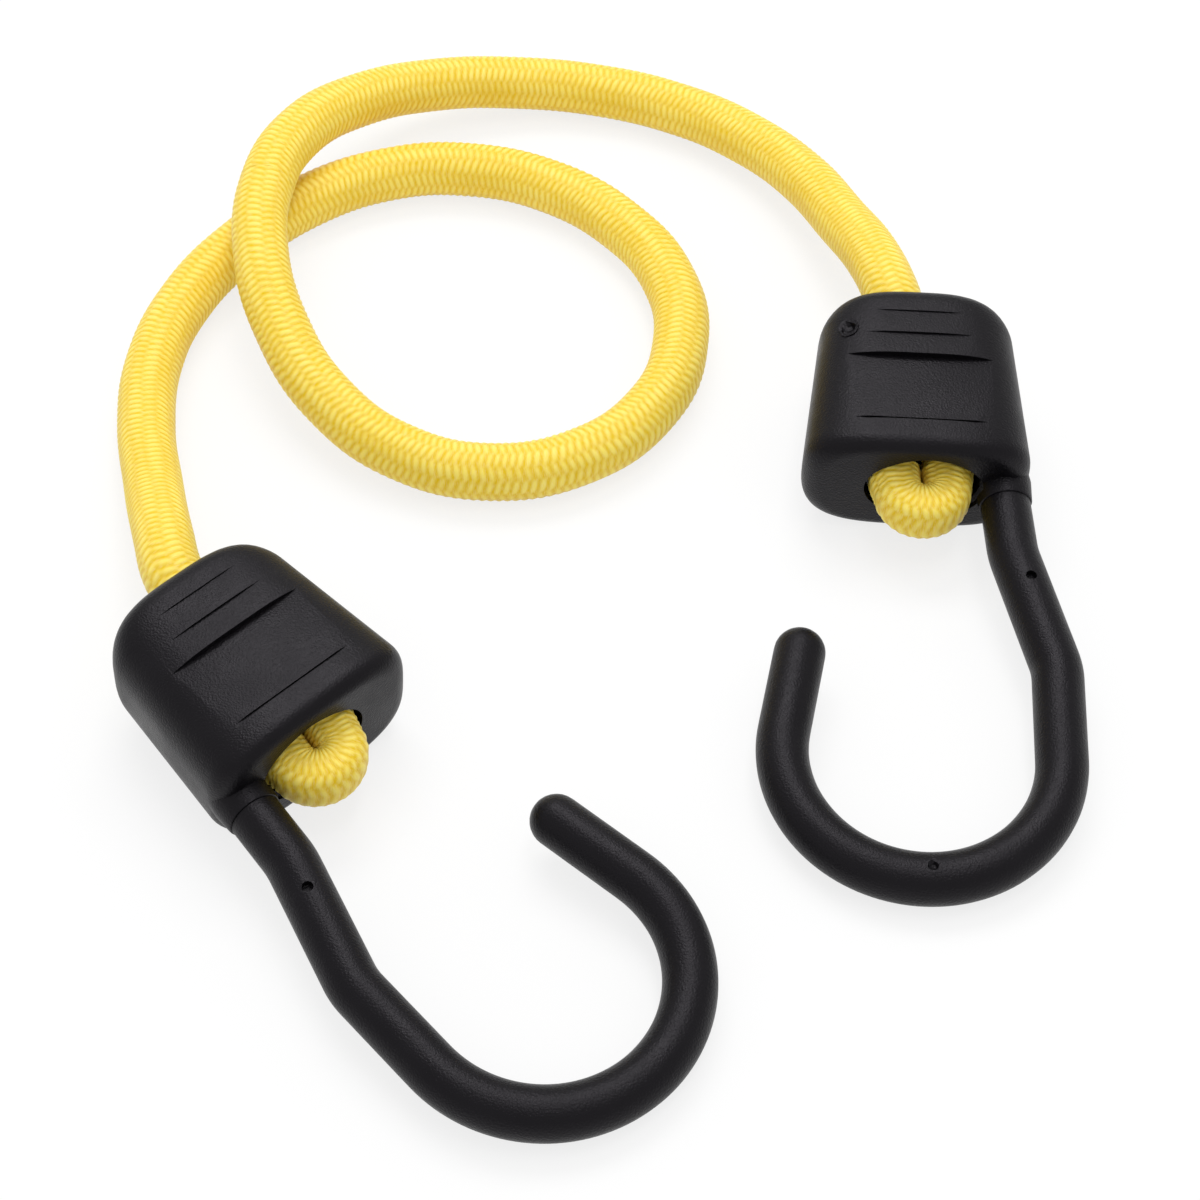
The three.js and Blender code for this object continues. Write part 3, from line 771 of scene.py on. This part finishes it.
# %% Pin holes and gate marks
PIN_PLACE = Vector((12.6, -46.7, 0)) * MM
PIN_RADIUS = 0.75 * MM
PIN_DEPTH = 1.0 * MM
PIN_SIDES = 24
ARM_GATE = Vector((-5.7, -90.2, 3.15)) * MM
ARM_GATE_RADIUS = 1.0 * MM
BLOCK_GATE = LEANED @ (Vector((-10.0, -8.0, 8.3)) * MM)
BLOCK_GATE_RADIUS = 1.5 * MM
BLOCK_GATE_TILT = math.radians(-22)  # to lie along the crowned face
SPRUE_HEIGHT, SPRUE_ROUGHNESS = 0.6, 0.12  # these and the next are shares of a gate's radius
CRATER_RADIUS, CRATER_RISE, CRATER_ROUGHNESS = 0.8, 0.65, 0.18
SPRUE_SIDES = 16
ROUGH_SEED = 5


def pin_cutter(face):
    deselect_all()
    height = 4 * PIN_DEPTH
    place = PIN_PLACE + Vector((0, 0, face * (SLEEVE_RADIUS - PIN_DEPTH + height / 2)))
    bpy.ops.mesh.primitive_cylinder_add(vertices=PIN_SIDES, radius=PIN_RADIUS, depth=height, location=place)
    bpy.ops.object.transform_apply(location=True, rotation=False, scale=False)
    return bpy.context.object


def roughened(body, offset):
    bpy.ops.object.transform_apply(location=True, rotation=False, scale=False)
    bpy.ops.object.mode_set(mode="EDIT")
    bpy.ops.mesh.select_all(action="SELECT")
    bpy.ops.transform.vertex_random(offset=offset, uniform=0, seed=ROUGH_SEED)
    bpy.ops.object.mode_set(mode="OBJECT")
    return body


def sprue(place, radius):
    """What is left of a sprue: a low round stub."""
    deselect_all()
    height = SPRUE_HEIGHT * radius
    bpy.ops.mesh.primitive_cylinder_add(vertices=SPRUE_SIDES, radius=radius, depth=height, location=place)
    return roughened(bpy.context.object, SPRUE_ROUGHNESS * radius)


def crater(place, radius):
    """The lump that broke out of the stub."""
    deselect_all()
    above = place + Vector((0, 0, CRATER_RISE * radius))
    bpy.ops.mesh.primitive_ico_sphere_add(subdivisions=2, radius=CRATER_RADIUS * radius, location=above)
    return roughened(bpy.context.object, CRATER_ROUGHNESS * radius)


def gate_mark(body, place, radius, tilt=0.0):
    turn = Matrix.Translation(place) @ Matrix.Rotation(tilt, 4, "Y") @ Matrix.Translation(-place)
    boolean(body, in_place(sprue(place, radius), turn), "UNION")
    boolean(body, in_place(crater(place, radius), turn), "DIFFERENCE")


for face in (1, -1):
    boolean(arm, pin_cutter(face), "DIFFERENCE")
gate_mark(arm, ARM_GATE, ARM_GATE_RADIUS)
gate_mark(block, BLOCK_GATE, BLOCK_GATE_RADIUS, BLOCK_GATE_TILT)
print("arm faces", len(arm.data.polygons), "block faces", len(block.data.polygons))

# %% [markdown]
# ## Two hooks from one
# Both hooks come from the same mould. Each end gets its own copy of the block and of the arm, moved into its
# place by the hook's frame, and the models they were copied from are removed. Faces that meet at a small
# angle are shaded smooth, while the ledges and the rims stay crisp.

# %% Copies in place
SMOOTH_ANGLE = math.radians(32)


def placed_copy(model, name, matrix):
    deselect_all()
    piece = model.copy()
    piece.data = model.data.copy()
    piece.name = name
    piece.data.name = name
    bpy.context.scene.collection.objects.link(piece)
    in_place(piece, matrix)
    piece.select_set(True)
    bpy.context.view_layer.objects.active = piece
    bpy.ops.object.shade_smooth_by_angle(angle=SMOOTH_ANGLE)
    return piece


blocks, arms = {}, {}
for side, place in HOOK_FRAMES.items():
    blocks[side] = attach(placed_copy(block, side + "_moulded_block", place), HOOK_BODIES[side])
    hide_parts(side + "_block")
    arms[side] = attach(placed_copy(arm, side + "_hook_arm", place), HOOK_BODIES[side])
    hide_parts(side + "_hook_sleeve")
bpy.data.objects.remove(block)
bpy.data.objects.remove(arm)
print("hook pieces:", sorted(piece.name for piece in [*blocks.values(), *arms.values()]))

# %% [markdown]
# ## Finishes
# Colours are written as they look on a screen, so a small helper turns them into the linear values that
# shaders use. Another adds a node and fills its inputs, which keeps each finish short enough to read as a
# recipe.

# %% Finish helpers
def screen_colour(red, green, blue):
    def linear(value):
        share = value / 255
        return share / 12.92 if share <= 0.04045 else ((share + 0.055) / 1.055) ** 2.4

    return (linear(red), linear(green), linear(blue), 1)


class Finish:
    """A material with a Principled shader, to which texture nodes are added one by one."""

    def __init__(self, name):
        self.material = bpy.data.materials.new(name)
        self.material.use_nodes = True
        self.tree = self.material.node_tree
        self.shader = self.tree.nodes["Principled BSDF"]

    def add(self, kind, settings=None, **inputs):
        node = self.tree.nodes.new(kind)
        for key, value in (settings or {}).items():
            setattr(node, key, value)
        for key, value in inputs.items():
            self.feed(node.inputs[key.replace("_", " ")], value)
        return node

    def feed(self, socket, value):
        if isinstance(value, bpy.types.NodeSocket):
            self.tree.links.new(value, socket)
        else:
            socket.default_value = value

    def set(self, **inputs):
        for key, value in inputs.items():
            self.feed(self.shader.inputs[key.replace("_", " ")], value)

    def noise(self, **inputs):
        return self.add("ShaderNodeTexNoise", **inputs).outputs["Fac"]

    def mix(self, factor, first, second):
        node = self.add("ShaderNodeMix", {"data_type": "RGBA"})
        self.feed(node.inputs["Factor"], factor)
        self.feed(node.inputs[6], first)
        self.feed(node.inputs[7], second)
        return node.outputs[2]

    def between(self, value, low, high, start=0.0, end=1.0):
        node = self.add("ShaderNodeMapRange", Value=value, From_Min=start, From_Max=end)
        self.feed(node.inputs["To Min"], low)
        self.feed(node.inputs["To Max"], high)
        return node.outputs["Result"]


# %% [markdown]
# ## Yellow yarn
# The braid is a shiny yellow yarn. Its colour has light and shade painted in: on top of a rib a painted
# highlight makes it pale and bright, and between the ribs painted shade makes it a deep golden yellow. Single
# threads run along the ribs, which a noise stretched around the cord shows as fine streaks, painted pale as a
# sheen. A little sheen stands for the loose fibres.

# %% Braid finish
def yellow_braid():
    finish = Finish("yellow_braid")
    rib = finish.add("ShaderNodeAttribute", {"attribute_name": "rib"}).outputs["Fac"]
    braid_map = finish.add("ShaderNodeUVMap", {"uv_map": "braid_map"}).outputs["UV"]
    stretched = finish.add("ShaderNodeMapping", Vector=braid_map, Scale=(260, 24, 1)).outputs["Vector"]
    threads = finish.noise(Vector=stretched, Scale=1.0, Detail=3.0, Roughness=0.6)
    patches = finish.noise(Vector=braid_map, Scale=2.2, Detail=2.0)
    # Painted shade darkens the yellow between the ribs, and a painted highlight makes it pale on their tops.
    shaded_groove = finish.mix(patches, screen_colour(225, 183, 0), screen_colour(233, 194, 4))
    crest = finish.mix(patches, screen_colour(246, 221, 82), screen_colour(249, 229, 118))
    rib_light_and_shade = finish.mix(finish.between(rib, 0.0, 1.0, 0.05, 0.7), shaded_groove, crest)
    # The pale streaks follow single threads, and their paleness is a painted sheen.
    threads_and_painted_sheen = finish.mix(finish.between(threads, 0.0, 0.45, 0.45, 0.75), rib_light_and_shade, screen_colour(255, 236, 172))
    bump = finish.add("ShaderNodeBump", Height=threads, Strength=0.35, Distance=0.00008)
    finish.set(Base_Color=threads_and_painted_sheen, Normal=bump.outputs["Normal"], Roughness=0.38)
    finish.set(Specular_IOR_Level=0.14, Sheen_Weight=0.02, Sheen_Roughness=0.4)
    return finish.material


BRAID = yellow_braid()
for piece in [cord_loop, cord_lead, *folds.values()]:
    piece.data.materials.append(BRAID)
print("yellow yarn on", len(folds) + 2, "pieces")

# %% [markdown]
# ## Black plastic
# The blocks and the arms are black plastic with a satin skin. Black is never quite even: the skin has a very
# fine grain, and cloudy patches that are a little paler and duller. All of it is kept faint, because the soft
# highlights are what make the shape readable. Their slight violet cast is the plastic's own, so it is a tint
# of the gloss.

# %% Plastic finish
def black_plastic():
    finish = Finish("black_plastic")
    place = finish.add("ShaderNodeTexCoord").outputs["Object"]
    grain = finish.noise(Vector=place, Scale=3600.0, Detail=2.0)
    clouds = finish.noise(Vector=place, Scale=160.0, Detail=4.0, Roughness=0.6)
    tone = finish.mix(clouds, screen_colour(7, 6, 8), screen_colour(12, 11, 14))
    bump = finish.add("ShaderNodeBump", Height=grain, Strength=0.8, Distance=0.00011)
    finish.set(Base_Color=tone, Normal=bump.outputs["Normal"], Specular_IOR_Level=0.19)
    finish.set(Specular_Tint=(0.97, 0.92, 1.0, 1.0))
    finish.set(Roughness=finish.between(clouds, 0.3, 0.42, 0.3, 0.7))
    return finish.material


PLASTIC = black_plastic()
for piece in [*blocks.values(), *arms.values()]:
    piece.data.materials.clear()
    piece.data.materials.append(PLASTIC)
print("black plastic on", len(blocks) + len(arms), "pieces")

# %% [markdown]
# ## Steel inside
# The rods and the clamps are closed in by plastic and braid and stay as they are in the solids. They still
# get a real finish, drawn steel with fine streaks, for a cut-away view.

# %% Steel finish
def drawn_steel():
    finish = Finish("drawn_steel")
    place = finish.add("ShaderNodeTexCoord").outputs["Object"]
    stretched = finish.add("ShaderNodeMapping", Vector=place, Scale=(900, 120, 900)).outputs["Vector"]
    streaks = finish.noise(Vector=stretched, Scale=1.0, Detail=3.0)
    tone = finish.mix(streaks, screen_colour(150, 151, 154), screen_colour(186, 187, 190))
    finish.set(Base_Color=tone, Metallic=1.0, Roughness=finish.between(streaks, 0.28, 0.46))
    return finish.material


STEEL = drawn_steel()
for name, node in frame["nodes"].items():
    if not node.hide_render:
        node.data.materials.clear()
        node.data.materials.append(STEEL)
        print("steel on", name)

# %% [markdown]
# ## Floor and background
# The cord lies on a plain white table under a pale sky. To the camera the table is nearly as bright as paper,
# so only a soft shadow tells where the cord touches it. A brighter lamp would whiten the table too, but it
# would bleach the yellow. So the table glows for what the camera sees, and keeps a share of its own shading.

# %% Floor and background
FLOOR_SIZE = 12.0
TABLE_TONE = (0.9, 0.9, 0.9, 1)
TABLE_ROUGHNESS = 0.9
SKY_LIGHT = 0.74
SHADOW_SHARE = 0.22  # of the table's own shading that the camera sees


def seen_directly(tree):
    """1 for what the camera sees, also in a mirror or through glass, and 0 for the light on other things."""
    rays = tree.nodes.new("ShaderNodeLightPath").outputs
    seen = rays["Is Camera Ray"]
    for ray in ("Is Glossy Ray", "Is Transmission Ray"):
        larger = tree.nodes.new("ShaderNodeMath")
        larger.operation = "MAXIMUM"
        tree.links.new(seen, larger.inputs[0])
        tree.links.new(rays[ray], larger.inputs[1])
        seen = larger.outputs[0]
    return seen


def white_table():
    material = bpy.data.materials.new("white_table")
    material.use_nodes = True
    tree = material.node_tree
    shader = tree.nodes["Principled BSDF"]
    shader.inputs["Base Color"].default_value = TABLE_TONE
    shader.inputs["Roughness"].default_value = TABLE_ROUGHNESS
    glow = tree.nodes.new("ShaderNodeEmission")
    share = tree.nodes.new("ShaderNodeMath")
    share.operation = "MULTIPLY"
    tree.links.new(seen_directly(tree), share.inputs[0])
    share.inputs[1].default_value = 1 - SHADOW_SHARE
    mix = tree.nodes.new("ShaderNodeMixShader")
    tree.links.new(share.outputs[0], mix.inputs[0])
    tree.links.new(shader.outputs[0], mix.inputs[1])
    tree.links.new(glow.outputs[0], mix.inputs[2])
    tree.links.new(mix.outputs[0], tree.nodes["Material Output"].inputs["Surface"])
    return material


def white_sky():
    world = bpy.data.worlds.new("white_sky")
    world.use_nodes = True
    sky = world.node_tree.nodes["Background"]
    sky.inputs["Color"].default_value = (1, 1, 1, 1)
    sky.inputs["Strength"].default_value = SKY_LIGHT
    bpy.context.scene.world = world


deselect_all()
bpy.ops.mesh.primitive_plane_add(size=FLOOR_SIZE)
table = bpy.context.object
table.name = "table"
table.data.materials.append(white_table())
white_sky()
print("table", FLOOR_SIZE, "m wide, sky", SKY_LIGHT)

# %% [markdown]
# ## Lamps
# The light is even: most of it comes from the sky. A wide lamp above and behind draws a soft line along the
# arms, and a weaker one overhead brings out the rounded edges of the black plastic. Both are broad area
# lamps, because a small lamp would leave hard spots on the gloss.

# %% Lamps
LAMP_AIM = Vector((0, 0.03, 0))


def soft_lamp(name, place, width, depth, power):
    deselect_all()
    aim = LAMP_AIM - Vector(place)
    bpy.ops.object.light_add(type="AREA", location=place, rotation=aim.to_track_quat("-Z", "Y").to_euler())
    lamp = bpy.context.object
    lamp.name = name
    lamp.data.shape = "ELLIPSE"
    lamp.data.size = width
    lamp.data.size_y = depth
    lamp.data.energy = power


soft_lamp("key_lamp", (-0.05, 0.4, 0.7), 0.6, 0.3, 2.6)
soft_lamp("top_lamp", (0.12, 0, 0.8), 0.5, 0.15, 1.1)
